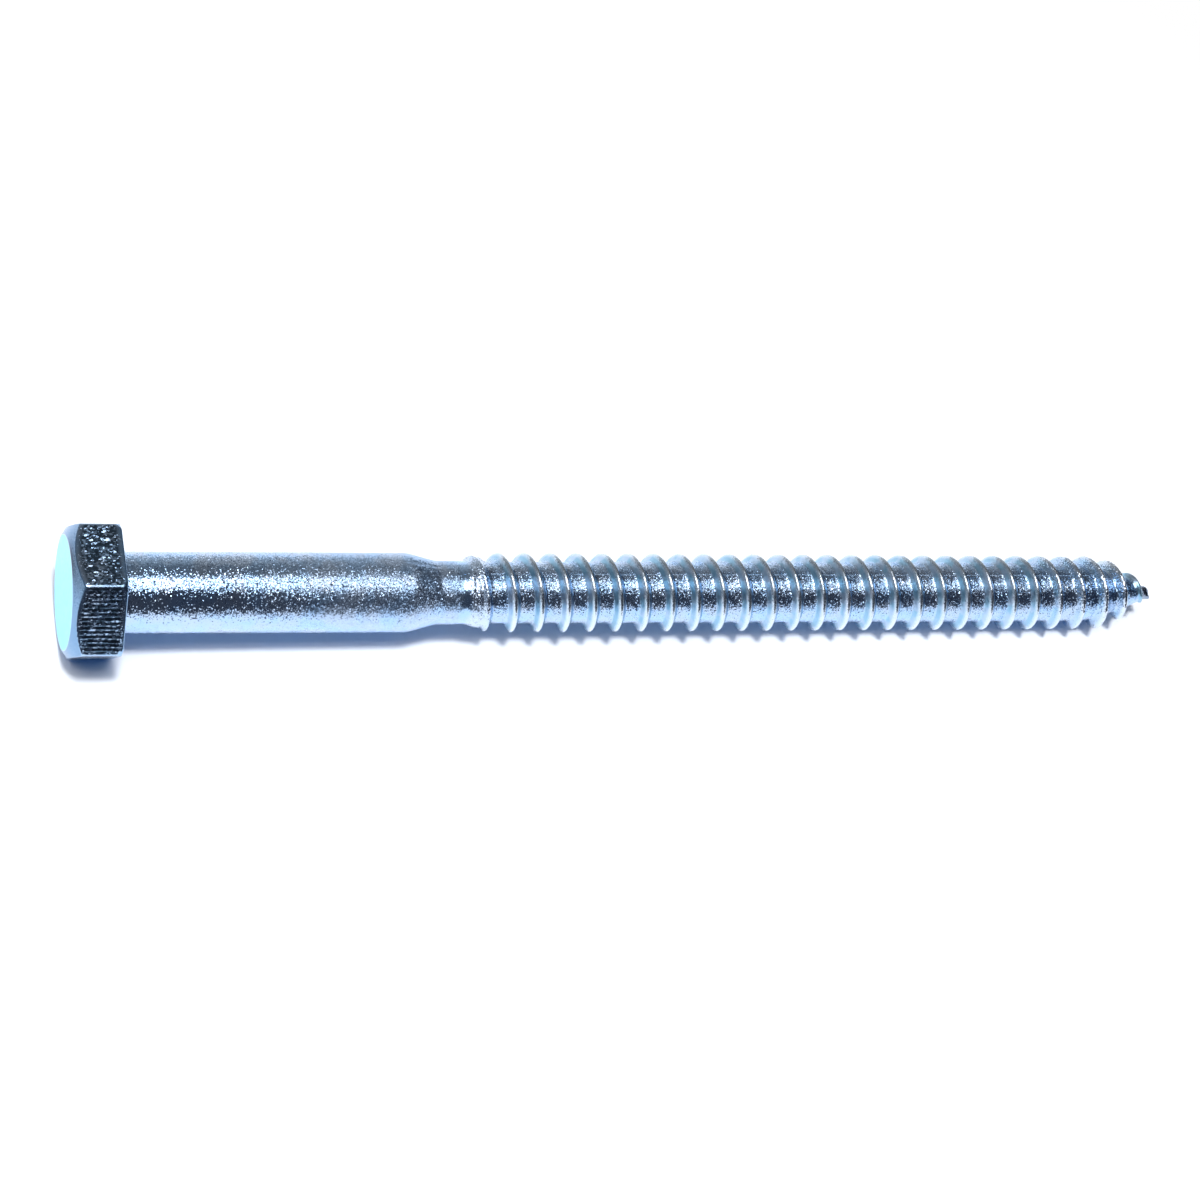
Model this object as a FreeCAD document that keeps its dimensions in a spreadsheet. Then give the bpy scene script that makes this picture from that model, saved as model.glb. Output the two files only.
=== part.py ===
import FreeCAD, Part
import math
import os

import Sketcher

# A hex lag screw, 5/16 in by 4-1/2 in, with nine threads to the inch and a gimlet point.
# It is one piece of steel: a forged hexagon head, a plain shank that tapers down to the
# rolling blank, and a wood thread rolled up out of that blank as far as the point.
#
# The screw's own axis is +X, from the bearing face at the origin to the point, with two
# flats of the head level. The finished screw is then laid down as it rests on a table, on
# one flat of the head and the last full turn of the thread, so its axis dips a little.

Vector = FreeCAD.Vector

SIZES = (
    # head
    ("across_flats", "12.6", "hexagon, flat to flat"),
    ("head_height", "5.0", "bearing face to end face"),
    ("end_flat_dia", "11.3", "round flat left inside the crown"),
    ("crown_radius", "13.0", "ball that trims the corners at the end face, centred on the axis"),
    ("head_bevel", "0.35", "root of the shank under the head"),
    # shank
    ("length", "114.3", "bearing face to point"),
    ("shank_dia", "7.92", "plain shank"),
    ("shank_length", "28.6", "plain shank, bearing face to taper"),
    ("taper_length", "2.9", "from the shank down to the blank"),
    ("blank_dia", "6.4", "rolling blank, seen bare at the neck"),
    ("neck_length", "3.0", "bare blank between taper and thread"),
    # thread
    ("pitch", "2.8222", "25.4 mm over nine"),
    ("thread_dia", "8.04", "over the crests"),
    ("root_dia", "6.28", "between the crests"),
    ("flank_angle", "36", "each flank against the radial direction, degrees"),
    ("crest_phase", "1.5", "first crest straight above the axis, past the thread's start"),
    ("collar_dia", "6.9", "half-rolled band where the thread starts"),
    ("collar_length", "2.2", "length of that band"),
    # point
    ("point_length", "8.6", "tapered core, from the full root to the tip"),
    ("waist_dia", "3.5", "core where its last turn starts and its taper grows steeper"),
    ("nose_dia", "1.5", "core where the rounded tip begins"),
    ("crest_fall", "6.7", "length before the tip over which the crests fall away"),
    ("shoulder_dia", "4.2", "over the crests, where they start to fall steeply"),
    ("shoulder_length", "2.3", "from there to the tip"),
    ("run_out", "0.6", "from the end of the ridge to the tip"),
)

# How far the ends of the thread, and the nose where it starts, lie below the surface there.
BURIED = 0.3
# Radius of the slim core that joins the blank to the nose inside the thread.
SPINE = 0.4
STEPS_PER_TURN = 12


def make_sheet(doc):
    """The driving dimensions, one row each, with the name as the cell's alias."""
    sheet = doc.addObject("Spreadsheet::Sheet", "sizes")
    for row, (alias, value, note) in enumerate(SIZES, start=1):
        sheet.set("A%d" % row, alias)
        sheet.set("B%d" % row, value)
        sheet.set("C%d" % row, note)
        sheet.setAlias("B%d" % row, alias)
    doc.recompute()
    return sheet


def origin_feature(body, role):
    """One of the body's own planes or axes."""
    return [item for item in body.Origin.OriginFeatures if item.Role == role][0]


def add_sketch(body, name, role):
    sketch = body.newObject("Sketcher::SketchObject", name)
    sketch.AttachmentSupport = [(origin_feature(body, role), "")]
    sketch.MapMode = "FlatFace"
    return sketch


def pin_point(sketch, geometry, end, expressions):
    """Hold one end of a line at a place given by two expressions, one for each axis."""
    kinds = ("DistanceX", "DistanceY")
    axes = (-2, -1)
    for kind, axis, expression in zip(kinds, axes, expressions):
        value = float(sketch.evalExpression(expression))
        if expression == "0":
            sketch.addConstraint(Sketcher.Constraint("PointOnObject", geometry, end, axis))
        elif value < 0:
            index = sketch.addConstraint(Sketcher.Constraint(kind, geometry, end, -1, 1, -value))
            sketch.setExpression("Constraints[%d]" % index, "-(%s)" % expression)
        else:
            index = sketch.addConstraint(Sketcher.Constraint(kind, -1, 1, geometry, end, value))
            sketch.setExpression("Constraints[%d]" % index, expression)


def closed_outline(body, name, role, corners, arcs=None):
    """A closed outline of straight lines, with arcs in place of some of them.

    corners holds two expressions for each corner. arcs maps the number of the corner that a
    clockwise arc starts from to two expressions for that arc's centre.
    """
    sketch = add_sketch(body, name, role)
    arcs = arcs or {}

    def spot(pair):
        return Vector(*(float(sketch.evalExpression(expression)) for expression in pair), 0)

    places = [spot(pair) for pair in corners]
    ends = []
    for number, place in enumerate(places):
        following = places[(number + 1) % len(places)]
        if number in arcs:
            centre = spot(arcs[number])
            circle = Part.Circle(centre, Vector(0, 0, 1), (place - centre).Length)
            first, last = (math.atan2(p.y - centre.y, p.x - centre.x) for p in (following, place))
            sketch.addGeometry(Part.ArcOfCircle(circle, first, last), False)
            # an arc is stored anticlockwise, so here its ends swap
            ends.append((2, 1))
        else:
            sketch.addGeometry(Part.LineSegment(place, following), False)
            ends.append((1, 2))
    for number in range(len(places)):
        after = (number + 1) % len(places)
        link = Sketcher.Constraint("Coincident", number, ends[number][1], after, ends[after][0])
        sketch.addConstraint(link)
    for number, pair in enumerate(corners):
        pin_point(sketch, number, ends[number][0], pair)
    for number, (along_axis, off_axis) in arcs.items():
        if off_axis == "0":
            sketch.addConstraint(Sketcher.Constraint("PointOnObject", number, 3, -1))
        else:
            pin_point(sketch, number, 3, (along_axis, off_axis))
    return sketch


def turn_profile(body, kind, name, sketch):
    """Spin an outline once round the screw's axis, to add material or to cut it."""
    feature = body.newObject("PartDesign::" + kind, name)
    feature.Profile = sketch
    feature.ReferenceAxis = (origin_feature(body, "X_Axis"), [""])
    feature.Angle = 360
    return feature


def make_blank(doc):
    """Head, shank, taper, neck, thread core and point, before the thread is rolled."""
    body = doc.addObject("PartDesign::Body", "blank")
    body.Label = "blank"

    # hexagon with a corner on each side and flats above and below
    corner = "sizes.across_flats / sqrt(3)"
    hexagon = closed_outline(body, "head_outline", "YZ_Plane", [
        (corner, "0"),
        (corner + " / 2", "sizes.across_flats / 2"),
        ("-" + corner + " / 2", "sizes.across_flats / 2"),
        ("-" + corner, "0"),
        ("-" + corner + " / 2", "-sizes.across_flats / 2"),
        (corner + " / 2", "-sizes.across_flats / 2"),
    ])
    head = body.newObject("PartDesign::Pad", "head")
    head.Profile = hexagon
    head.setExpression("Length", "sizes.head_height")
    head.Reversed = True

    # the crown that trims the six corners at the end face, run clear of the corners
    end_radius = "(sizes.end_flat_dia / 2)"
    clear_radius = "(sizes.across_flats * 0.65)"
    crown_centre = "-sizes.head_height + sqrt(sizes.crown_radius ^ 2 - %s ^ 2)" % end_radius
    crown_edge = "%s - sqrt(sizes.crown_radius ^ 2 - %s ^ 2)" % (crown_centre, clear_radius)
    crown = closed_outline(body, "crown_outline", "XZ_Plane", [
        ("-sizes.head_height", end_radius),
        (crown_edge, clear_radius),
        ("-sizes.head_height", clear_radius),
    ], arcs={0: (crown_centre, "0")})
    turn_profile(body, "Groove", "crown", crown)

    # everything round: shank, taper, neck and collar, then a spine inside the thread, then the nose
    taper_end = "sizes.shank_length + sizes.taper_length"
    neck_end = taper_end + " + sizes.neck_length"
    collar_end = neck_end + " + sizes.collar_length"
    blank_radius = "sizes.blank_dia / 2"
    collar_radius = "sizes.collar_dia / 2"
    collar_step = "(%s - %s)" % (collar_radius, blank_radius)
    waist = "(sizes.length - sizes.run_out - sizes.pitch)"
    nose_start = "sizes.length - sizes.nose_dia / 2"
    nose_slope = "(sizes.waist_dia / 2 - sizes.nose_dia / 2) / (%s - %s)" % (nose_start, waist)
    surfacing = "sizes.pitch / 10"
    shank = closed_outline(body, "shank_outline", "XZ_Plane", [
        ("-sizes.head_height / 2", "0"),
        ("-sizes.head_height / 2", "sizes.shank_dia / 2"),
        ("sizes.shank_length", "sizes.shank_dia / 2"),
        (taper_end, blank_radius),
        (neck_end, blank_radius),
        (neck_end + " + " + collar_step, collar_radius),
        (collar_end, collar_radius),
        (collar_end + " + " + collar_radius, str(SPINE)),
        (waist + " - " + surfacing, str(SPINE)),
        (waist + " - " + surfacing, "sizes.waist_dia / 2 - %s" % BURIED),
        (waist + " + " + surfacing, "sizes.waist_dia / 2 - %s * %s" % (surfacing, nose_slope)),
        (nose_start, "sizes.nose_dia / 2"),
        ("sizes.length", "0"),
    ], arcs={11: (nose_start, "0")})
    turn_profile(body, "Revolution", "shank", shank)
    doc.recompute()
    return body


def bevel_shank_root(body, sheet):
    """Fill the corner between the shank and the bearing face with a small cone."""
    base = body.Tip
    radius = sheet.shank_dia / 2
    root = []
    for number, edge in enumerate(base.Shape.Edges, start=1):
        if not edge.Degenerated and isinstance(edge.Curve, Part.Circle):
            if abs(edge.Curve.Center.x) < 1e-6 and abs(edge.Curve.Radius - radius) < 1e-6:
                root.append("Edge%d" % number)
    bevel = body.newObject("PartDesign::Chamfer", "head_bevel")
    bevel.Base = (base, root)
    bevel.setExpression("Size", "sizes.head_bevel")
    body.Document.recompute()
    return bevel


def along(stations, place):
    """Value at a place on the axis, straight between stations and level past the first and last."""
    for (x0, v0), (x1, v1) in zip(stations, stations[1:]):
        if place <= x1:
            share = max(0, (place - x0) / (x1 - x0))
            return v0 + (v1 - v0) * share
    return stations[-1][1]


class Thread:
    """The rolled wood thread: where each edge of its ridge lies after so many turns.

    Edge -1 is the ridge's foot on the head's side, edge 0 its crest and edge 1 its foot on
    the point's side. The thread is right-handed, and at a whole number of turns the ridge
    stands straight above the axis.
    """

    def __init__(self, sheet):
        thread_start = sheet.shank_length + sheet.taper_length + sheet.neck_length
        collar_end = thread_start + sheet.collar_length
        crest = sheet.thread_dia / 2
        root = sheet.root_dia / 2
        sunk = sheet.blank_dia / 2 - BURIED
        ridge_end = sheet.length - sheet.run_out
        waist = ridge_end - sheet.pitch
        nose = sheet.nose_dia / 2
        self.pitch = sheet.pitch
        self.slope = math.tan(math.radians(sheet.flank_angle))
        self.first_crest = thread_start + sheet.crest_phase
        self.crests = (
            (thread_start, sunk),
            (thread_start + sheet.pitch, crest),
            (sheet.length - sheet.crest_fall, crest),
            (sheet.length - sheet.shoulder_length, sheet.shoulder_dia / 2),
            (ridge_end, nose - BURIED / 2),
        )
        self.roots = (
            (thread_start, sunk - BURIED),
            (collar_end, root),
            (sheet.length - sheet.point_length, root),
            (waist, sheet.waist_dia / 2),
            (ridge_end, nose - BURIED),
        )
        # a whole number of turns, so that the first one starts inside the neck
        self.last = (ridge_end - self.first_crest) / sheet.pitch
        span = (ridge_end - (collar_end - sheet.pitch)) / sheet.pitch
        self.turns = math.ceil(span)
        self.start = self.last - self.turns

    def corner(self, edge, turn):
        middle = self.first_crest + self.pitch * turn
        height = along(self.crests, middle) - along(self.roots, middle)
        place = middle + edge * height * self.slope
        radius = along(self.roots, place) if edge else along(self.crests, middle)
        angle = 2 * math.pi * turn
        return Vector(place, -radius * math.sin(angle), radius * math.cos(angle))

    def helix(self, edge, turn):
        """One turn of one edge of the ridge."""
        small = 0.001
        turns = [turn + step / STEPS_PER_TURN for step in range(STEPS_PER_TURN + 1)]
        ways = [(self.corner(edge, t + small) - self.corner(edge, t - small)) / (2 * small)
                for t in (turns[0], turns[-1])]
        curve = Part.BSplineCurve()
        curve.interpolate(Points=[self.corner(edge, t) for t in turns], Parameters=turns,
                          InitialTangent=ways[0], FinalTangent=ways[1], Scale=False)
        return curve.toShape()

    def end_faces(self, edge, turn, section):
        """Close one end: a ramp from the axis out to the edge's helix, and a flat step."""
        near = Vector(self.corner(edge, turn).x, 0, 0)
        far = Vector(self.corner(edge, turn + 1).x, 0, 0)
        ramp = Part.makeRuledSurface(Part.makeLine(near, far), self.helix(edge, turn))
        step = Part.Face(Part.makePolygon([near] + section + [far, near]))
        return [ramp, step]

    def section(self, turn):
        return [self.corner(edge, turn) for edge in (-1, 0, 1)]

    def solid(self):
        faces = []
        for number in range(self.turns):
            turn = self.start + number
            foot, crest, far_foot = (self.helix(edge, turn) for edge in (-1, 0, 1))
            faces.append(Part.makeRuledSurface(foot, crest))
            faces.append(Part.makeRuledSurface(crest, far_foot))
            if number + 1 < self.turns:
                faces.append(Part.makeRuledSurface(far_foot, self.helix(-1, turn + 1)))
        first, last = self.start, self.last
        faces += self.end_faces(-1, first, self.section(first) + [self.corner(-1, first + 1)])
        faces += self.end_faces(1, last - 1, [self.corner(1, last - 1)] + self.section(last))
        skin = Part.makeCompound(faces)
        skin.sewShape()
        solid = Part.makeSolid(Part.makeShell(skin.Faces))
        if solid.Volume < 0:
            solid.reverse()
        return solid


def make_thread(doc, sheet):
    """The thread with its core, as a closed helical solid that starts and ends inside the blank."""
    thread = doc.addObject("Part::Feature", "thread")
    thread.Label = "thread"
    thread.Shape = Thread(sheet).solid()
    return thread


def check(objects):
    """Stop if anything failed, before a file is written."""
    for item in objects:
        if "Invalid" in item.State or "Error" in item.State:
            raise RuntimeError("%s did not recompute: %s" % (item.Label, item.State))
        shape = getattr(item, "Shape", None)
        if shape is not None and item.TypeId != "Sketcher::SketchObject":
            if shape.isNull() or not shape.isValid():
                raise RuntimeError("%s has no valid shape" % item.Label)


def main():
    doc = FreeCAD.newDocument("lag_screw")
    sheet = make_sheet(doc)
    blank = make_blank(doc)
    bevel_shank_root(blank, sheet)
    thread = make_thread(doc, sheet)

    screw = doc.addObject("Part::Fuse", "lag_screw")
    screw.Label = "lag_screw"
    screw.Base = blank
    screw.Tool = thread
    doc.recompute()
    check(doc.Objects)
    if len(screw.Shape.Solids) != 1:
        raise RuntimeError("the thread is not one with the shank and the point")

    # laid on a table: the bearing face's lower edge and the last full crest touch it
    last_crest = sheet.length - sheet.point_length
    dip = math.atan2(sheet.across_flats / 2 - sheet.thread_dia / 2, last_crest)
    screw.Placement = FreeCAD.Placement(Vector(0, 0, 0), FreeCAD.Rotation(Vector(0, 1, 0), math.degrees(dip)))
    doc.recompute()

    os.makedirs("parts", exist_ok=True)
    screw.Shape.exportStep("parts/%s.step" % screw.Label)


main()
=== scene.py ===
import math

import bpy
import numpy as np
from mathutils import Matrix, Vector, noise


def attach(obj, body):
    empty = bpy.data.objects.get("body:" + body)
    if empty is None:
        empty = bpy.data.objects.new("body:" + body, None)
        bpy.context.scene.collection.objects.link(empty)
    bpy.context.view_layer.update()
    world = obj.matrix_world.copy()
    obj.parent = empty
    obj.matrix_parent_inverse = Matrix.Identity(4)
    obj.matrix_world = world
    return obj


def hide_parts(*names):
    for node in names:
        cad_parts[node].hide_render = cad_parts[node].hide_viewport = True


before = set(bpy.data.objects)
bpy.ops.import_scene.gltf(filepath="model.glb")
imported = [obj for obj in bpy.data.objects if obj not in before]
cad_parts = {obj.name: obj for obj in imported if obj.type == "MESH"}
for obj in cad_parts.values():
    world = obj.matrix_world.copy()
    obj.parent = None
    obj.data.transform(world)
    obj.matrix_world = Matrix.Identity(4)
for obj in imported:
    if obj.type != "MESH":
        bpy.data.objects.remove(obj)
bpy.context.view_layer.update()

MM = 0.001
TAU = 2 * math.pi

# The screw in its own frame, in millimetres: X from the bearing face to the tip, Z up.
ACROSS_FLATS = 12.6
CORNER = ACROSS_FLATS / math.sqrt(3)
HEAD_HEIGHT = 5.0
END_FLAT = 5.65  # radius of the round flat inside the crown
CROWN = 11.6  # radius of the ball that trims the corners at the end face
CORNER_TRIM = 0.3  # wear of the corners at the bearing face
HEAD_FILLET = 0.35
LENGTH = 114.3
SHANK = 3.96  # radius, as are the blank's, the collar's and the root's
SHANK_END = 28.95
TAPER_END = 31.75
BLANK = 3.2
COLLAR = 3.45
ROOT = 3.14
THREAD = 8.04  # diameter over the crests
POINT = 8.6  # length of the gimlet point
TIP_BALL = 0.75
PITCH = 25.4 / 9
FIRST_CREST = 36.0
RIDGE_START = 34.5
RIDGE_END = 113.45
FLANK = math.tan(math.radians(31))
CREST_FLAT = 0.12
CREST_ROUND = 0.035
CREST_KEPT = 0.6  # share of the crest's loss by rounding that is given back
FOOT_FILLET = 0.09
# radius of the turned form: fillet, shank, taper, neck, and the collar with its fine ridges
TURNED = ((0, SHANK + HEAD_FILLET), (0.1, SHANK + 0.2), (0.22, SHANK + 0.1), (0.4, SHANK + 0.02),
          (0.7, SHANK), (SHANK_END - 0.35, SHANK), (SHANK_END, SHANK - 0.03),
          (TAPER_END - 0.1, BLANK + 0.03), (TAPER_END + 0.15, BLANK),
          (34.02, BLANK), (34.64, BLANK + 0.24), (34.8, BLANK + 0.27),
          (35.05, COLLAR + 0.03), (35.2, COLLAR - 0.09), (35.35, COLLAR + 0.06), (35.6, COLLAR + 0.08),
          (35.75, COLLAR - 0.07), (35.9, COLLAR + 0.1), (36.3, COLLAR + 0.1), (36.5, COLLAR - 0.05),
          (36.75, ROOT + 0.11), (37.0, ROOT))
# radius of the crest and of the root along the screw
CRESTS = ((34.5, 3.2), (35.0, 3.52), (35.56, 3.74), (36.3, 3.83), (37.0, 3.90), (38.4, 4.0), (39.5, 4.02),
          (107.3, 4.0), (108.9, 3.6), (110.35, 2.97), (111.8, 2.2), (112.9, 1.35), (113.4, 0.6))
ROOTS = ((105.5, ROOT), (106.8, 2.95), (109.1, 2.3), (111.6, 1.55), (113.55, 0.75))

# angles from straight up towards the front; the first one faces the camera
FRONT = math.radians(34)
CREASE = math.radians(344)
# half of how much later the collar starts behind than in front
COLLAR_SLANT = 1.05

# depths of the marks of rolling and trimming
THREAD_WEAR = 0.012
POINT_WEAR = 0.07
COLLAR_WEAR = 0.03
CREASE_DEPTH = 0.06
UNEVEN = 0.006
TRIM_DEPTH = 0.042
TRIM_RIPPLE = 0.008
EDGE_WEAR = 0.012
# distance between the trim marks
TRIM_STEP = 0.46

# height of the table in metres, and how far the screw dips, lying on its head and its last turn
FLOOR = -0.0062985
DIP = math.atan2(ACROSS_FLATS / 2 - THREAD / 2, LENGTH - POINT)
TILT = Matrix.Rotation(DIP, 4, "Y")

# points round the screw and round the head
COLUMNS = 120
HEAD_COLUMNS = 480
# steps between the rings of the shank, the taper and the neck
SHANK_STEP, TAPER_STEP, NECK_STEP = 0.8, 0.45, 0.35
# the thread's rows stop here, and rings close the tip
ROWS_END = LENGTH - 0.55
# where the rows of the thread's skin lie about each crest, in millimetres
ROWS = (-1.30, -1.02, -0.84, -0.74, -0.66, -0.56, -0.36, -0.17, -0.08,
        0.0, 0.08, 0.17, 0.36, 0.56, 0.66, 0.74, 0.84, 1.06)

# the speckle of the end face, which its painted cyan sheen goes by, and the least speckle elsewhere on the
# head
END_SPECKLE = 0.05
LEAST_SPECKLE = 0.12
HEAD_MATT = 0.25
# in the texture layout: the radius that angles are unrolled at, and the distance between the head's sides
UNROLLED = 4
SIDES_APART = 8

# colours of the plating
BLUE = (0.42, 0.62, 0.91, 1)
GREY_BLUE = (0.49, 0.62, 0.82, 1)
FLANK_TEAL = (0.30, 0.52, 0.69, 1)
FLANK_GREY = (0.46, 0.60, 0.77, 1)
FLAT_DARK_AND_SHADE = (0.055, 0.10, 0.155, 1)
EDGE_BLUE = (0.20, 0.38, 0.62, 1)
PAINTED_SHEEN_CYAN = (0.10, 0.75, 0.88, 1)
PAINTED_CREST_HIGHLIGHT = (0.80, 0.85, 0.93, 1)
PIT_DARK = (0.16, 0.21, 0.30, 1)
SHADE_DARK = (0.05, 0.055, 0.08, 1)
# colours of the room
WHITE = (1, 1, 1, 1)
BLACK = (0, 0, 0, 1)
PAPER = (0.87, 0.89, 0.91, 1)
SHADOW_BLUE = (0, 0.25, 1.0, 1)
ROOM_DARK = (0.052, 0.058, 0.074, 1)
ROOM_ABOVE = (0.155, 0.160, 0.165, 1)
ROOM_RIGHT = (0.015, 0.018, 0.03, 1)
ROOM_BEHIND = (0.68, 0.68, 0.66, 1)
ROOM_LEFT = (0.24, 0.27, 0.31, 1)

# the photograph's width and the camera's focal length, in its pixels, and the sensor in millimetres
PICTURE_PIXELS = 1200
FOCAL_PIXELS = 2620
SENSOR = 36.0


def smooth(low, high, value):
    share = np.clip((value - low) / (high - low), 0, 1)
    return share * share * (3 - 2 * share)


def within(value, start, full, fading, end):
    """One between full and fading, nought before start and past end."""
    return smooth(start, full, value) * smooth(end, fading, value)


def profile(x, pairs):
    """Value at each place, on the straight lines between pairs of a place and a value."""
    places, values = zip(*pairs)
    return np.interp(x, places, values)


def grain(x, y, z, size, seed=0):
    """Smooth noise from -1 to 1 at each point, with features of a given size in millimetres."""
    flat = np.broadcast_arrays(x, y, z)
    shape = flat[0].shape
    points = zip(*(part.ravel() / size + seed for part in flat))
    return np.array([noise.noise(point) for point in points]).reshape(shape)


def around_axis(x, angle, radius):
    """Points at places along the axis, angles from straight up and distances from the axis."""
    return np.stack([x, -np.sin(angle) * radius, np.cos(angle) * radius], axis=-1)


# Shank, neck, thread and point

def plain_radius(x):
    """Radius of the turned form without the thread."""
    tip_centre = LENGTH - TIP_BALL
    ball = np.sqrt(np.maximum(TIP_BALL ** 2 - np.maximum(x - tip_centre, 0) ** 2, 0))
    return np.where(x > tip_centre, ball, profile(x, TURNED + ROOTS))


def skin_radius(x, angle):
    """Radius of the screw's skin behind the head at a place and an angle from straight up."""
    # the collar starts nearest the head on the front of the screw, and latest behind
    late = COLLAR_SLANT * (1 - np.cos(angle - FRONT)) * within(x, 32.6, 33.6, 35.2, 36.8)
    base = plain_radius(x - late)
    turn = (x - FIRST_CREST) / PITCH - angle / TAU
    nearest = np.round(turn)
    away = (turn - nearest) * PITCH
    crest_place = FIRST_CREST + (nearest + angle / TAU) * PITCH
    root = profile(x, ROOTS)
    height = np.maximum(profile(crest_place, CRESTS) - root, 0)
    foot = CREST_FLAT + height * FLANK
    rise = (foot - np.abs(away)) / FLANK
    # a rounded crest and a small fillet at the foot
    rounding = CREST_ROUND * np.logaddexp(0, (height - rise) / CREST_ROUND)
    rise = height - rounding + CREST_ROUND * math.log(2) * CREST_KEPT
    thread = root + FOOT_FILLET * np.logaddexp(0, rise / FOOT_FILLET)
    thread = np.minimum(thread, root + height)
    inside = (crest_place > RIDGE_START) & (crest_place < RIDGE_END) & (height > 0)
    return np.where(inside, np.maximum(base, thread), base)


def on_collar(x):
    """One on the collar, nought before and behind it."""
    return within(x, 34.6, 34.8, 36.6, 37.0)


def rolled(x, angle, radius):
    """The radius with what rolling left: worn crests, most so at the point, a crease and a wavy skin."""
    _, y, z = np.moveaxis(around_axis(x, angle, radius), -1, 0)
    on_thread = smooth(0.15, 0.7, radius - profile(x, ROOTS)) * smooth(36.5, 37.5, x)
    worn = THREAD_WEAR + POINT_WEAR * within(x, 97, 106, 110, 113.5)
    dents = grain(x, y, z, 0.9) * 0.6 + grain(x, y, z, 0.42, 7.3) * 0.5
    radius = radius - on_thread * worn * np.clip(0.5 + dents, 0, 2)
    radius = radius - on_collar(x) * COLLAR_WEAR * np.clip(dents, 0, 1)
    # the crease lies along the top of the taper
    crease = np.exp(-(((angle - CREASE) * 3.6 + 0.04 * (x - 30)) / 0.13) ** 2)
    radius = radius - CREASE_DEPTH * crease * within(x, 28.2, 28.9, 31.2, 31.9)
    return radius + UNEVEN * grain(x, y, z, 1.6, 3.1) * within(x, 0.8, 1.5, 112.5, 113.4)


def stations():
    """Places of the rows straight above the axis, and how many rows each one climbs in a turn."""
    rings = [0, 0.05, 0.12, 0.2, 0.3, 0.45, 0.7]
    rings += list(np.arange(1.4, SHANK_END - SHANK_STEP, SHANK_STEP))
    rings += [SHANK_END + step for step in (-0.45, -0.3, -0.1, 0.05, 0.3)]
    rings += list(np.arange(SHANK_END + 0.7, TAPER_END - 0.3, TAPER_STEP))
    rings += [TAPER_END + step for step in (-0.2, -0.08, 0.05, 0.2)]
    rings += list(np.arange(TAPER_END + 0.5, FIRST_CREST - PITCH - 0.15, NECK_STEP))
    rows = []
    turn = -1
    while True:
        places = [FIRST_CREST + turn * PITCH + away for away in ROWS]
        places = [place for place in places if place > rings[-1] + 0.05]
        rows += [place for place in places if place < ROWS_END]
        if places[-1] >= ROWS_END:
            break
        turn += 1
    tip = [LENGTH - back for back in (0.5, 0.38, 0.26, 0.16, 0.08, 0.025)]
    last = len(rings) + len(rows) - 1
    climb = [0] * len(rings)
    for number in range(len(rings), last + 1):
        climb.append(min(number - len(rings) + 1, len(ROWS), last - number))
    climb += [0] * len(tip)
    return rings + rows + tip, climb


def skin_faces(climb):
    """Faces between the rows; at the end of a turn each row meets the row that it climbs to."""
    faces = []
    for row in range(len(climb) - 1):
        start = row * COLUMNS
        for point in range(start, start + COLUMNS - 1):
            faces.append((point, point + 1, point + 1 + COLUMNS, point + COLUMNS))
        first, last = row + climb[row], row + 1 + climb[row + 1]
        seam = [number * COLUMNS for number in range(first, last + 1)]
        faces.append(tuple([start + COLUMNS - 1] + seam + [start + 2 * COLUMNS - 1]))
    # the tip's own point follows the last row
    start, tip = (len(climb) - 1) * COLUMNS, len(climb) * COLUMNS
    for column in range(COLUMNS):
        faces.append((start + column, start + (column + 1) % COLUMNS, tip))
    return faces


def skin_marks(x, height):
    """How strongly each look shows on the skin, by the place and the height over the root."""
    crest = smooth(0.55, 0.85, height) * smooth(36.4, 37, x)
    flank = smooth(0.05, 0.2, height) * smooth(36.6, 37.4, x)
    bruised = within(x, 96, 105, 109.5, 111)
    cone = within(x, 33.5, 34.3, 34.6, 34.9)
    collar = on_collar(x)
    speckle = 1.0 - (0.7 - 0.7 * bruised) * flank - 0.2 * smooth(15, 5, x)
    speckle = (speckle + 0.2 * collar) * (1 - 0.8 * cone)
    speckle = speckle * (1 - 0.6 * smooth(112.6, 113.3, x))
    matt = smooth(7, 24, x) * (1 - 0.6 * smooth(35, 37.5, x)) * (1 - 0.8 * cone) * (1 - 0.7 * bruised)
    land = within(x, 36.5, 37.5, 109, 111) * (1 - flank)
    # painted shade: a dark line where the shank meets the head; the tip is also made darker
    shade = 0.45 * smooth(0.45, 0.3, x) + 0.5 * smooth(112.7, 113.3, x)
    # the crest mark, at half strength on the collar, also carries a painted highlight on the crests
    return {"speckle": speckle, "tint": 0 * x, "crest": np.maximum(crest, 0.5 * collar),
            "flank": flank * (1 - 0.6 * bruised), "flat": 0 * x, "matt": matt, "land": land, "shade": shade}


def build_skin():
    """Points, faces, marks and layout of all behind the head: one wound skin, open at the bearing face."""
    places, climb = stations()
    places = np.array(places)
    share = np.arange(COLUMNS) / COLUMNS
    ends = np.array([places[number + step] for number, step in enumerate(climb)])
    x = places[:, None] + (ends - places)[:, None] * share[None, :]
    angle = np.broadcast_to(TAU * share, x.shape)
    radius = rolled(x, angle, skin_radius(x, angle))
    points = around_axis(x, angle, radius).reshape(-1, 3)
    points = np.vstack([points, [[LENGTH, 0, 0]]])
    height = np.append((radius - profile(x, ROOTS)).ravel(), 0)
    around = np.append((angle * UNROLLED).ravel(), 0)
    x = points[:, 0]
    return points, skin_faces(climb), skin_marks(x, height), np.stack([around, x], axis=-1)


# Head

def hex_radius(angle):
    """Distance from the axis to the hexagon's side in a direction, with slightly rounded corners."""
    sharp = 70
    total = 0
    for side in range(6):
        lean = np.cos(angle - math.radians(60 * side))
        total = total + np.maximum(lean, 0) ** sharp
    return ACROSS_FLATS / 2 * total ** (-1 / sharp)


def crown_depth(radius):
    """How far the crown lies behind the end face at a distance from the axis."""
    return math.sqrt(CROWN ** 2 - END_FLAT ** 2) - np.sqrt(CROWN ** 2 - radius ** 2)


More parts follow.
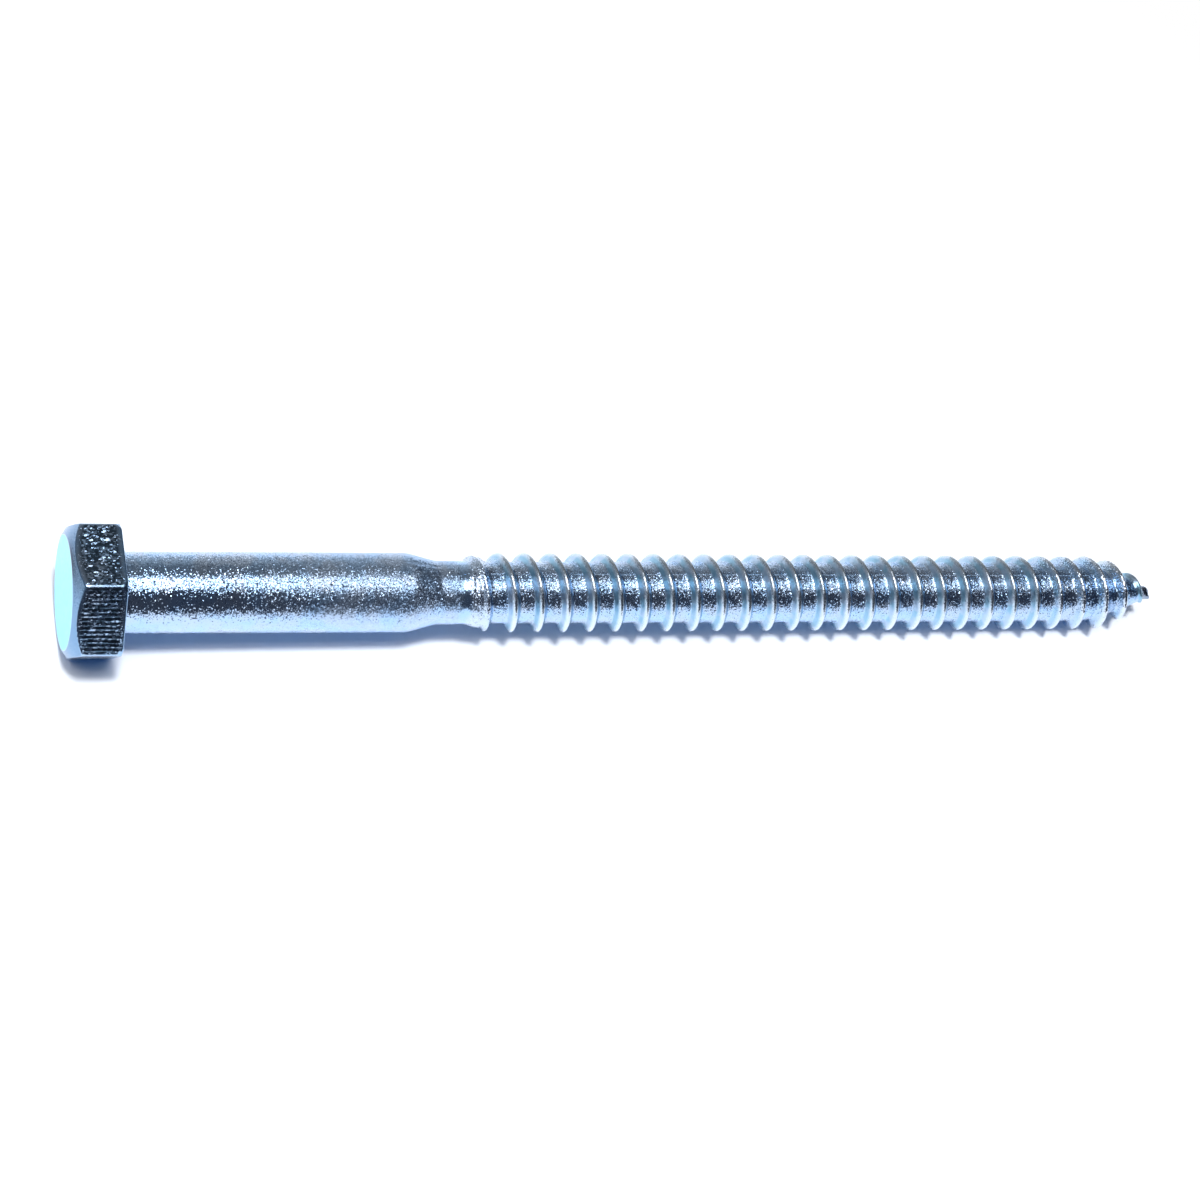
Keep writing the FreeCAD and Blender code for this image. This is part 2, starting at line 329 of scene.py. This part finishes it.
def head_rows(angle):
    """Place, radius, flat, speckle, tint and shade of the head's rows, from the fillet to the end face."""
    outline = hex_radius(angle)
    trimmed = np.minimum(outline, CORNER - CORNER_TRIM)
    wear = outline - trimmed
    rows = []

    def row(x, radius, flat=0.0, speckle=0.35, tint=0.0, shade=0.0):
        rows.append([part * np.ones(HEAD_COLUMNS) for part in (x, radius, flat, speckle, tint, shade)])

    # the bearing face
    seat = SHANK + HEAD_FILLET
    rim = trimmed - 0.2
    for share in (0.06, 0.3, 0.6, 0.85):
        row(0, seat + (rim - seat) * share, speckle=0.6)
    row(0, rim, speckle=0.5)
    # the worn edge between it and the flats
    row(-0.012, trimmed - 0.09, speckle=0.4, tint=0.4)
    row(-0.045, trimmed - 0.03, speckle=0.35, tint=0.7)
    row(-0.11, np.minimum(trimmed + 0.06, outline), speckle=0.3, tint=0.8)
    row(-0.2 - wear, outline, speckle=0.3, tint=0.6)
    # the flats
    clear = HEAD_HEIGHT - crown_depth(outline)
    start, end = -(0.45 + wear * 0.7), -(clear - 0.28)
    for share in (0, 0.06, 0.14, 0.24, 0.34, 0.44, 0.54, 0.64, 0.74, 0.84, 0.92, 1.0):
        flat = 1.0 if 0.05 < share < 0.95 else 0.35
        row(start + (end - start) * share, outline, flat=flat, speckle=1.3)
    row(-(clear - 0.1), outline, flat=0.1, speckle=0.35, tint=0.2)
    row(-(clear - 0.02), outline - 0.012, speckle=0.35, tint=0.4)
    # the crown is a little darker all round, and a painted reflection of a dark patch of the room darkens
    # its upper left, deepest beside the end face
    slant = outline - END_FLAT
    turned = np.degrees((angle + math.pi) % TAU - math.pi)
    painted_dark_reflection = np.exp(-((turned - 2) / 27) ** 2)
    for share in (0.03, 0.12, 0.35, 0.62, 0.88, 0.97):
        radius = outline - 0.03 - (slant - 0.03) * share
        row(-(HEAD_HEIGHT - crown_depth(radius)), radius, speckle=0.3, tint=1.0,
            shade=0.18 + painted_dark_reflection * (0.32 + 0.45 * share))
    # the end face
    # painted shade: a dark line along the end face's rim, darkest beside the crown's painted dark patch
    row(-HEAD_HEIGHT + 0.012, END_FLAT - 0.02, speckle=0.2, tint=1.0, shade=0.45 + 0.4 * painted_dark_reflection)
    row(-HEAD_HEIGHT + 0.002, END_FLAT - 0.08, speckle=0.12)
    for radius in (END_FLAT - 0.2, 5.0, 3.9, 2.7, 1.5, 0.5):
        row(-HEAD_HEIGHT, radius, speckle=END_SPECKLE)
    return [np.array(part) for part in zip(*rows)]


def trim(x, side_place, side, flat, radius):
    """The radius with trim marks along each flat, none on the crown, and an uneven worn edge."""
    from_middle = np.abs(side_place)
    wander = grain(x, side_place, side * 9.1, 2.6, 1.7)
    strength = np.clip(0.72 + 0.45 * grain(x * 2.2, side_place * 1.6, side * 5.3, 1.0, 4.2), 0.1, 1.6)
    strength = strength * smooth(3.6, 3.42, from_middle) * np.where(side == 0, 0.55, 1.0)
    marks = (0.5 - 0.5 * np.cos(TAU * (side_place + 0.05 * wander) / TRIM_STEP + side * 1.9)) ** 1.6
    ripple = 1 + grain(x * 0.4, side_place * 2.2, side * 3.7, 0.5, 2.9)
    ripple = ripple * smooth(3.6, 3.4, from_middle)
    radius = radius - flat * (TRIM_DEPTH * marks * strength + TRIM_RIPPLE * ripple)
    edge = (x > -0.5) & (x < -0.005)
    return radius - np.where(edge, EDGE_WEAR * (1 + grain(x, side_place, side * 2.2, 0.8, 8.8)), 0)


def head_faces(first, rows):
    """Faces of the head, with its points numbered from first: row by row, then the middle of its end."""
    faces = []
    # each wide cell of the skin's first ring meets several narrow ones of the head
    each = HEAD_COLUMNS // COLUMNS
    for column in range(COLUMNS):
        fan = [first + (column * each + step) % HEAD_COLUMNS for step in range(each + 1)]
        faces.append(tuple(fan + [(column + 1) % COLUMNS, column]))
    end = first + (rows - 1) * HEAD_COLUMNS
    for near in range(first, end, HEAD_COLUMNS):
        far = near + HEAD_COLUMNS
        for column in range(HEAD_COLUMNS):
            following = (column + 1) % HEAD_COLUMNS
            faces.append((near + following, near + column, far + column, far + following))
    for column in range(HEAD_COLUMNS):
        faces.append((end + (column + 1) % HEAD_COLUMNS, end + column, end + HEAD_COLUMNS))
    return faces


def build_head(first):
    """The head's own points, faces, marks and layout; its bearing face starts at the skin's first ring."""
    angle = TAU * np.arange(HEAD_COLUMNS) / HEAD_COLUMNS
    x, radius, flat, speckle, tint, shade = head_rows(angle)
    # number of each side, and the place along it from its middle
    turn = math.pi / 3
    side = np.broadcast_to(np.round(angle / turn) % 6, x.shape)
    side_place = ACROSS_FLATS / 2 * np.tan((angle + turn / 2) % turn - turn / 2)
    side_place = np.broadcast_to(side_place, x.shape)
    radius = trim(x, side_place, side, flat, radius)
    points = around_axis(x, angle, radius).reshape(-1, 3)
    points = np.vstack([points, [[-HEAD_HEIGHT, 0, 0]]])

    inward = smooth(3.62, 3.42, np.abs(side_place))
    quiet = np.where(flat > 0.9, np.where(side == 0, 0.6, 0.35), 1.0)
    softened = np.maximum(speckle * (0.15 + 0.85 * inward) * quiet, LEAST_SPECKLE)
    speckle = np.where(speckle > 2 * END_SPECKLE, softened, speckle)
    marks = {"speckle": speckle, "tint": tint, "crest": 0 * x, "flank": 0 * x, "flat": flat * inward,
             "matt": HEAD_MATT + 0 * x, "land": 0 * x, "shade": shade}
    middle = {"speckle": END_SPECKLE, "matt": HEAD_MATT}
    marks = {name: np.append(values.ravel(), middle.get(name, 0)) for name, values in marks.items()}
    across = np.append((side_place + side * SIDES_APART).ravel(), 0)
    return points, head_faces(first, len(x)), marks, np.stack([across, points[:, 0]], axis=-1)


def build_screw():
    points, faces, marks, layout = build_skin()
    head_points, more_faces, head_marks, head_layout = build_head(len(points))
    points = np.vstack([points, head_points])
    layout = np.vstack([layout, head_layout])
    mesh = bpy.data.meshes.new("screw")
    matrix = np.array(TILT)[:3, :3]
    mesh.from_pydata((points @ matrix.T * MM).tolist(), [], faces + more_faces)
    mesh.update()
    mesh.shade_smooth()

    for name, values in marks.items():
        attribute = mesh.attributes.new(name, "FLOAT", "POINT")
        data = np.concatenate([values, head_marks[name]])
        attribute.data.foreach_set("value", data.astype(np.float32))
    layer = mesh.uv_layers.new(name="millimetres")
    corners = np.zeros(len(mesh.loops), np.int32)
    mesh.loops.foreach_get("vertex_index", corners)
    layer.data.foreach_set("uv", layout[corners].astype(np.float32).ravel())

    screw = bpy.data.objects.new("plated_screw", mesh)
    bpy.context.scene.collection.objects.link(screw)
    return screw


# Finish

class Nodes:
    """Short names for adding and linking shader nodes."""

    def __init__(self, tree):
        self.tree = tree
        tree.nodes.clear()

    def add(self, kind, settings=None, **inputs):
        node = self.tree.nodes.new("ShaderNode" + kind)
        for name, value in (settings or {}).items():
            setattr(node, name, value)
        for name, value in inputs.items():
            key = int(name[1:]) if name[0] == "_" else name.replace("_", " ")
            self.put(node, key, value)
        return node

    def put(self, node, key, value):
        socket = node.inputs[key]
        if isinstance(value, bpy.types.NodeSocket):
            self.tree.links.new(value, socket)
        else:
            socket.default_value = value

    def math(self, operation, a, b):
        return self.add("Math", {"operation": operation}, _0=a, _1=b).outputs[0]

    def attribute(self, name):
        return self.add("Attribute", {"attribute_name": name}).outputs["Fac"]

    def noise(self, vector, scale, detail=2.0, rough=0.5):
        node = self.add("TexNoise", {"noise_dimensions": "3D"}, Vector=vector, Scale=scale, Detail=detail,
                        Roughness=rough)
        return node.outputs["Fac"]

    def spread(self, value, low, high, to_low=0.0, to_high=1.0):
        node = self.add("MapRange", {"interpolation_type": "SMOOTHSTEP"}, Value=value, From_Min=low,
                        From_Max=high, To_Min=to_low, To_Max=to_high)
        return node.outputs["Result"]

    def blend(self, factor, a, b):
        node = self.add("Mix", {"data_type": "RGBA"}, _0=factor)
        self.put(node, 6, a)
        self.put(node, 7, b)
        return node.outputs[2]


def zinc_plate():
    """Bright zinc plate with a blue passivate over rolled steel."""
    material = bpy.data.materials.new("zinc_steel")
    material.use_nodes = True
    n = Nodes(material.node_tree)
    place = n.add("TexCoord").outputs["Object"]
    uv = n.add("UVMap", {"uv_map": "millimetres"}).outputs["UV"]
    speckle, tint, shade = n.attribute("speckle"), n.attribute("tint"), n.attribute("shade")
    crest, flat, flank = n.attribute("crest"), n.attribute("flat"), n.attribute("flank")
    matt, land = n.attribute("matt"), n.attribute("land")

    # facets of the zinc's crystals, a few of them steep; coarser along the flats
    facets = n.add("TexVoronoi", Vector=place, Scale=10000.0).outputs["Color"]
    drawn = n.add("Mapping", Vector=place, Scale=(0.75, 1.0, 1.0)).outputs[0]
    coarse = n.add("TexVoronoi", Vector=drawn, Scale=5400.0).outputs["Color"]
    facets = n.blend(flat, facets, coarse)
    lean = n.add("VectorMath", {"operation": "SUBTRACT"}, _0=facets, _1=(0.5, 0.5, 0.5)).outputs[0]
    size = n.add("VectorMath", {"operation": "ABSOLUTE"}, _0=lean).outputs[0]
    steep = n.add("VectorMath", {"operation": "LENGTH"}, _0=lean).outputs["Value"]
    steep = n.spread(steep, 0.48, 0.60)

    # colour: blue passivate that drifts to grey, and to teal on the flanks; the flats are dark, partly as
    # painted shade
    broad = n.noise(place, 420.0, 2.0)
    patches = n.noise(place, 640.0, 3.0)
    fine = n.noise(place, 3900.0, 2.0)
    colour = n.blend(n.spread(broad, 0.36, 0.64), BLUE, GREY_BLUE)
    sides = n.blend(n.spread(patches, 0.42, 0.62), FLANK_TEAL, FLANK_GREY)
    colour = n.blend(flank, colour, sides)
    # the flats' darker finish is deepened as painted shade, and kept off the steep facets as painted glints
    painted_shade_off_glints = n.math("SUBTRACT", 0.95, n.math("MULTIPLY", steep, 0.85))
    colour = n.blend(n.math("MULTIPLY", flat, painted_shade_off_glints), colour, FLAT_DARK_AND_SHADE)
    colour = n.blend(n.math("MULTIPLY", tint, 0.8), colour, EDGE_BLUE)
    # painted sheen: the end face, marked by its low speckle, is coloured cyan for the pale sheen it shows
    # at a grazing angle
    colour = n.blend(n.spread(speckle, 0.11, 0.07), colour, PAINTED_SHEEN_CYAN)
    # painted highlight: the crests, and the collar at half strength, are lighter so that they show bright
    # lines
    colour = n.blend(n.math("MULTIPLY", crest, 0.7), colour, PAINTED_CREST_HIGHLIGHT)
    pits = n.math("SUBTRACT", 1.0, n.spread(fine, 0.30, 0.44, 0.8, 1.0))
    colour = n.blend(n.math("MULTIPLY", pits, speckle), colour, PIT_DARK)
    # painted shade and painted reflections, from the shade mark, darken the colour
    colour = n.blend(shade, colour, SHADE_DARK)

    # roughness: matter towards the neck and on the flanks, brighter on the rolled crests
    rough = n.spread(n.noise(place, 2300.0, 3.0), 0.3, 0.7, 0.11, 0.17)
    rough = n.math("ADD", rough, n.math("MULTIPLY", matt, 0.17))
    rough = n.math("ADD", rough, n.math("MULTIPLY", flank, 0.12))
    rough = n.math("SUBTRACT", rough, n.math("MULTIPLY", crest, 0.08))

    # relief: crystals of zinc all over, trim lines on the flats, rolling strokes between the turns
    grains = n.math("MULTIPLY", n.noise(place, 3900.0, 2.0, 0.55), speckle)
    lines = n.add("Mapping", Vector=uv, Scale=(9.0, 0.7, 1.0)).outputs[0]
    scratches = n.math("MULTIPLY", n.noise(lines, 1.0, 3.0), n.math("MULTIPLY", flat, 1.1))
    dots = n.add("Mapping", Vector=uv, Scale=(2.17, 2.4, 1.0)).outputs[0]
    dots = n.add("TexVoronoi", Vector=dots, Scale=1.0, Randomness=0.6).outputs["Distance"]
    dots = n.math("MULTIPLY", n.spread(dots, 0.05, 0.25, -1.8, 0.0), flat)
    scratches = n.math("ADD", scratches, dots)
    strokes = n.add("Mapping", Vector=uv, Scale=(1.1, 5.5, 1.0)).outputs[0]
    strokes = n.math("MULTIPLY", n.noise(strokes, 1.0, 3.0), n.math("MULTIPLY", land, 1.6))
    height = n.math("ADD", n.math("ADD", grains, scratches), strokes)
    bump = n.add("Bump", Strength=1.0, Distance=0.00002, Height=height).outputs[0]
    # the fourth power of the facets' lean leaves few of them steep
    for _ in range(3):
        lean = n.add("VectorMath", {"operation": "MULTIPLY"}, _0=lean, _1=size).outputs[0]
    strength = n.math("MULTIPLY", speckle, 6.2)
    lean = n.add("VectorMath", {"operation": "SCALE"}, _0=lean, Scale=strength).outputs[0]
    lean = n.add("VectorMath", {"operation": "ADD"}, _0=bump, _1=lean).outputs[0]
    normal = n.add("VectorMath", {"operation": "NORMALIZE"}, _0=lean).outputs[0]

    shader = n.add("BsdfPrincipled", Base_Color=colour, Metallic=1.0, Roughness=rough, Normal=normal)
    out = n.add("OutputMaterial")
    n.put(out, "Surface", shader.outputs[0])
    return material


def seen_rays(n):
    """One for what the camera or a reflection sees, nought for light bounced off the floor."""
    path = n.add("LightPath")
    seen = n.math("MAXIMUM", path.outputs["Is Camera Ray"], path.outputs["Is Glossy Ray"])
    return n.math("MAXIMUM", seen, path.outputs["Is Transmission Ray"])


def floor_finish():
    """Matt white paper that the camera and the metal see as white away from the shadow, with a painted blue
    glow that tints the shadow.
    """
    material = bpy.data.materials.new("paper")
    material.use_nodes = True
    n = Nodes(material.node_tree)
    seen = seen_rays(n)
    place = n.add("TexCoord").outputs["Object"]
    middle = (0.055, 0.0, 0.0)
    off = n.add("VectorMath", {"operation": "SUBTRACT"}, _0=place, _1=middle).outputs[0]
    away = n.add("VectorMath", {"operation": "LENGTH"}, _0=off).outputs["Value"]
    far = n.math("MULTIPLY", n.spread(away, 0.075, 0.14), seen)
    paper = n.add("BsdfDiffuse", Color=PAPER)
    white = n.add("Emission", Color=WHITE, Strength=1.0)
    # painted light: a faint blue glow, seen by the camera and in reflections, gives the shadow its blue
    # cast
    painted_blue_cast = n.add("Emission", Color=SHADOW_BLUE)
    n.put(painted_blue_cast, "Strength", n.math("MULTIPLY", seen, 0.075))
    paper = n.add("AddShader", _0=paper.outputs[0], _1=painted_blue_cast.outputs[0])
    mixed = n.add("MixShader", _0=far, _1=paper.outputs[0], _2=white.outputs[0])
    # the table ends close in front of the screw, as its reflection shows
    front = n.add("SeparateXYZ", Vector=place).outputs["Y"]
    front = n.spread(n.math("MULTIPLY", front, -1.0), 0.032, 0.068)
    front = n.math("MULTIPLY", front, n.add("LightPath").outputs["Is Glossy Ray"])
    dark = n.add("Emission", Color=ROOM_DARK, Strength=1.0)
    mixed = n.add("MixShader", _0=front, _1=mixed.outputs[0], _2=dark.outputs[0])
    out = n.add("OutputMaterial")
    n.put(out, "Surface", mixed.outputs[0])
    return material


def make_floor():
    size = 3.0
    mesh = bpy.data.meshes.new("floor")
    corners = [(-size, -size, 0), (size, -size, 0), (size, size, 0), (-size, size, 0)]
    mesh.from_pydata(corners, [], [(0, 1, 2, 3)])
    floor = bpy.data.objects.new("floor", mesh)
    floor.location = (0, 0, FLOOR)
    bpy.context.scene.collection.objects.link(floor)
    mesh.materials.append(floor_finish())


def make_world():
    """A dim room, brighter low behind the screw; the camera sees it white."""
    world = bpy.data.worlds.new("studio")
    bpy.context.scene.world = world
    world.use_nodes = True
    n = Nodes(world.node_tree)
    way = n.add("TexCoord").outputs["Generated"]
    split = n.add("SeparateXYZ", Vector=way)
    above = n.spread(split.outputs["Y"], -0.1, 0.35)
    room = n.blend(above, ROOM_DARK, ROOM_ABOVE)
    right = n.spread(split.outputs["X"], 0.40, 0.56, 0.0, 0.8)
    room = n.blend(right, room, ROOM_RIGHT)
    behind = n.spread(split.outputs["Y"], 0.62, 1.15)
    room = n.blend(behind, room, ROOM_BEHIND)
    beside = n.spread(n.math("MULTIPLY", split.outputs["X"], -1.0), 0.5, 0.95)
    room = n.blend(beside, room, ROOM_LEFT)
    path = n.add("LightPath")
    # the room itself hardly lights the paper
    faint = n.blend(0.3, BLACK, room)
    colour = n.blend(path.outputs["Is Glossy Ray"], faint, room)
    colour = n.blend(path.outputs["Is Camera Ray"], colour, WHITE)
    shade = n.add("Background", Color=colour, Strength=1.0)
    out = n.add("OutputWorld")
    n.put(out, "Surface", shade.outputs[0])


def aim(thing, target):
    way = Vector(target) - thing.location
    thing.rotation_mode = "QUATERNION"
    thing.rotation_quaternion = way.to_track_quat("-Z", "Y")


def area_light(name, place, target, size, radiance):
    """A rectangular lamp of a given brightness."""
    data = bpy.data.lights.new(name, "AREA")
    data.shape = "RECTANGLE"
    data.size, data.size_y = size
    data.energy = radiance * math.pi * size[0] * size[1]
    lamp = bpy.data.objects.new(name, data)
    lamp.location = place
    bpy.context.scene.collection.objects.link(lamp)
    aim(lamp, target)


def make_lights():
    # one long softbox in three parts, which show in the head, in the shank and neck, and in the thread
    parts = (("bright", -0.4, 0.118, 4.5), ("dim", 0.118, 0.19, 0.65), ("middle", 0.19, 0.345, 2.1))
    forward, high, deep = -0.069, 0.49, 0.27
    for name, start, end, radiance in parts:
        centre = (start + end) / 2
        size = (end - start, deep)
        area_light("overhead_" + name, (centre, forward, high), (centre, 0, 0), size, radiance)
    # a soft skylight for the floor's shadow, left out of the metal's reflections
    data = bpy.data.lights.new("sky", "SUN")
    data.angle = math.radians(9)
    data.energy = 2.45
    sky = bpy.data.objects.new("sky", data)
    sky.location = (-0.05, -0.20, 1.0)
    sky.visible_glossy = False
    bpy.context.scene.collection.objects.link(sky)
    aim(sky, (0, 0, 0))


def make_camera():
    """About 56 degrees above the table, off the head's end and turned 20 degrees towards the thread."""
    elevation, turn, roll = math.radians(55.9), -0.3549, -0.0010
    # from the camera to the middle of the bearing face, in millimetres to the right, down and forward
    reach = np.array([-46.417, -0.720, 251.18])
    c, s = math.cos(turn), math.sin(turn)
    yaw = np.array([[c, 0, s], [0, 1, 0], [-s, 0, c]])
    c, s = math.cos(roll), math.sin(roll)
    turned = np.array([[c, -s, 0], [s, c, 0], [0, 0, 1]]) @ yaw
    toward = np.array([0, -math.cos(elevation), math.sin(elevation)])
    upward = np.array([0, math.sin(elevation), math.cos(elevation)])
    axes = np.stack([np.array([1.0, 0, 0]), -upward, -toward], axis=1)
    place = axes @ (-turned.T @ reach) * MM
    right, down, forward = (axes @ line for line in turned)
    matrix = np.eye(4)
    matrix[:3, 0], matrix[:3, 1], matrix[:3, 2], matrix[:3, 3] = right, -down, -forward, place
    data = bpy.data.cameras.new("camera")
    data.sensor_width = SENSOR
    data.lens = FOCAL_PIXELS / PICTURE_PIXELS * SENSOR
    data.clip_start, data.clip_end = 0.01, 20.0
    camera = bpy.data.objects.new("camera", data)
    bpy.context.scene.collection.objects.link(camera)
    camera.matrix_world = TILT @ Matrix(matrix.tolist())
    bpy.context.scene.camera = camera


screw = build_screw()
screw.data.materials.append(zinc_plate())
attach(screw, "root")
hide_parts("lag_screw")
make_floor()
make_world()
make_lights()
make_camera()
bpy.context.scene.view_settings.view_transform = "Standard"
